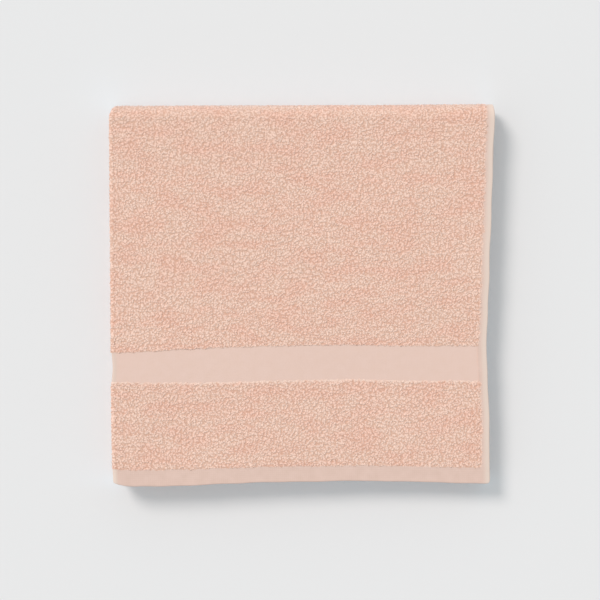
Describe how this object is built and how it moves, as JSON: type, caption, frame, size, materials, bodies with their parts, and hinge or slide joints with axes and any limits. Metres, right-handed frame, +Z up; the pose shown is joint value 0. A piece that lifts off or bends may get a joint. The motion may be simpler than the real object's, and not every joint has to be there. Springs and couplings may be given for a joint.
{
  "type": "bath towel",
  "caption": "Terry bath towel folded into a square stack, with a flat-woven border near the end, plain hems and a back fold that opens.",
  "frame": {"origin": "centre of the folded stack's footprint, on the surface it rests on", "axes": "+X to the right, from the left-hand fold to the side hems; +Y to the back, from the end hems to the last fold; +Z up"},
  "size_m": [0.3436, 0.3448, 0.0284],
  "materials": {
    "terry": "matte looped pile",
    "border": "smooth flat weave",
    "hem": "matte plain weave",
    "thread": "sewing thread"
  },
  "bodies": {
    "lower_half": {"back_fold_inner_layer": "terry", "back_fold_inner_layer_inner_side_hem": "hem", "back_fold_inner_layer_outer_side_hem": "hem", "back_fold_outer_layer": "terry", "back_fold_outer_layer_inner_side_hem": "hem", "back_fold_outer_layer_outer_side_hem": "hem", "front_fold": "terry", "front_fold_inner_side_hem": "hem", "front_fold_outer_side_hem": "hem", "second_quarter_lower_side_hem": "hem", "second_quarter_lower_side_thread": "thread", "second_quarter_terry_field": "terry", "second_quarter_upper_side_hem": "hem", "second_quarter_upper_side_thread": "thread", "third_quarter_lower_side_hem": "hem", "third_quarter_lower_side_thread": "thread", "third_quarter_terry_field": "terry", "third_quarter_upper_side_hem": "hem", "third_quarter_upper_side_thread": "thread"},
    "upper_half": {"first_quarter_border": "border", "first_quarter_end_hem": "hem", "first_quarter_end_seam_thread": "thread", "first_quarter_end_strip": "terry", "first_quarter_lower_side_hem": "hem", "first_quarter_lower_side_thread": "thread", "first_quarter_terry_field": "terry", "first_quarter_upper_side_hem": "hem", "first_quarter_upper_side_thread": "thread", "fourth_quarter_border": "border", "fourth_quarter_end_hem": "hem", "fourth_quarter_end_seam_thread": "thread", "fourth_quarter_end_strip": "terry", "fourth_quarter_lower_side_hem": "hem", "fourth_quarter_lower_side_thread": "thread", "fourth_quarter_terry_field": "terry", "fourth_quarter_upper_side_hem": "hem", "fourth_quarter_upper_side_thread": "thread"}
  },
  "joints": [
    {"name": "unfold", "type": "hinge", "parent": "lower_half", "child": "upper_half", "pos_m": [0, 0.15841, 0.0142], "axis": [-1, 0, 0], "range_deg": [0, 180], "deforming": ["back_fold_inner_layer", "back_fold_inner_layer_inner_side_hem", "back_fold_inner_layer_outer_side_hem", "back_fold_outer_layer", "back_fold_outer_layer_inner_side_hem", "back_fold_outer_layer_outer_side_hem"]}
  ]
}
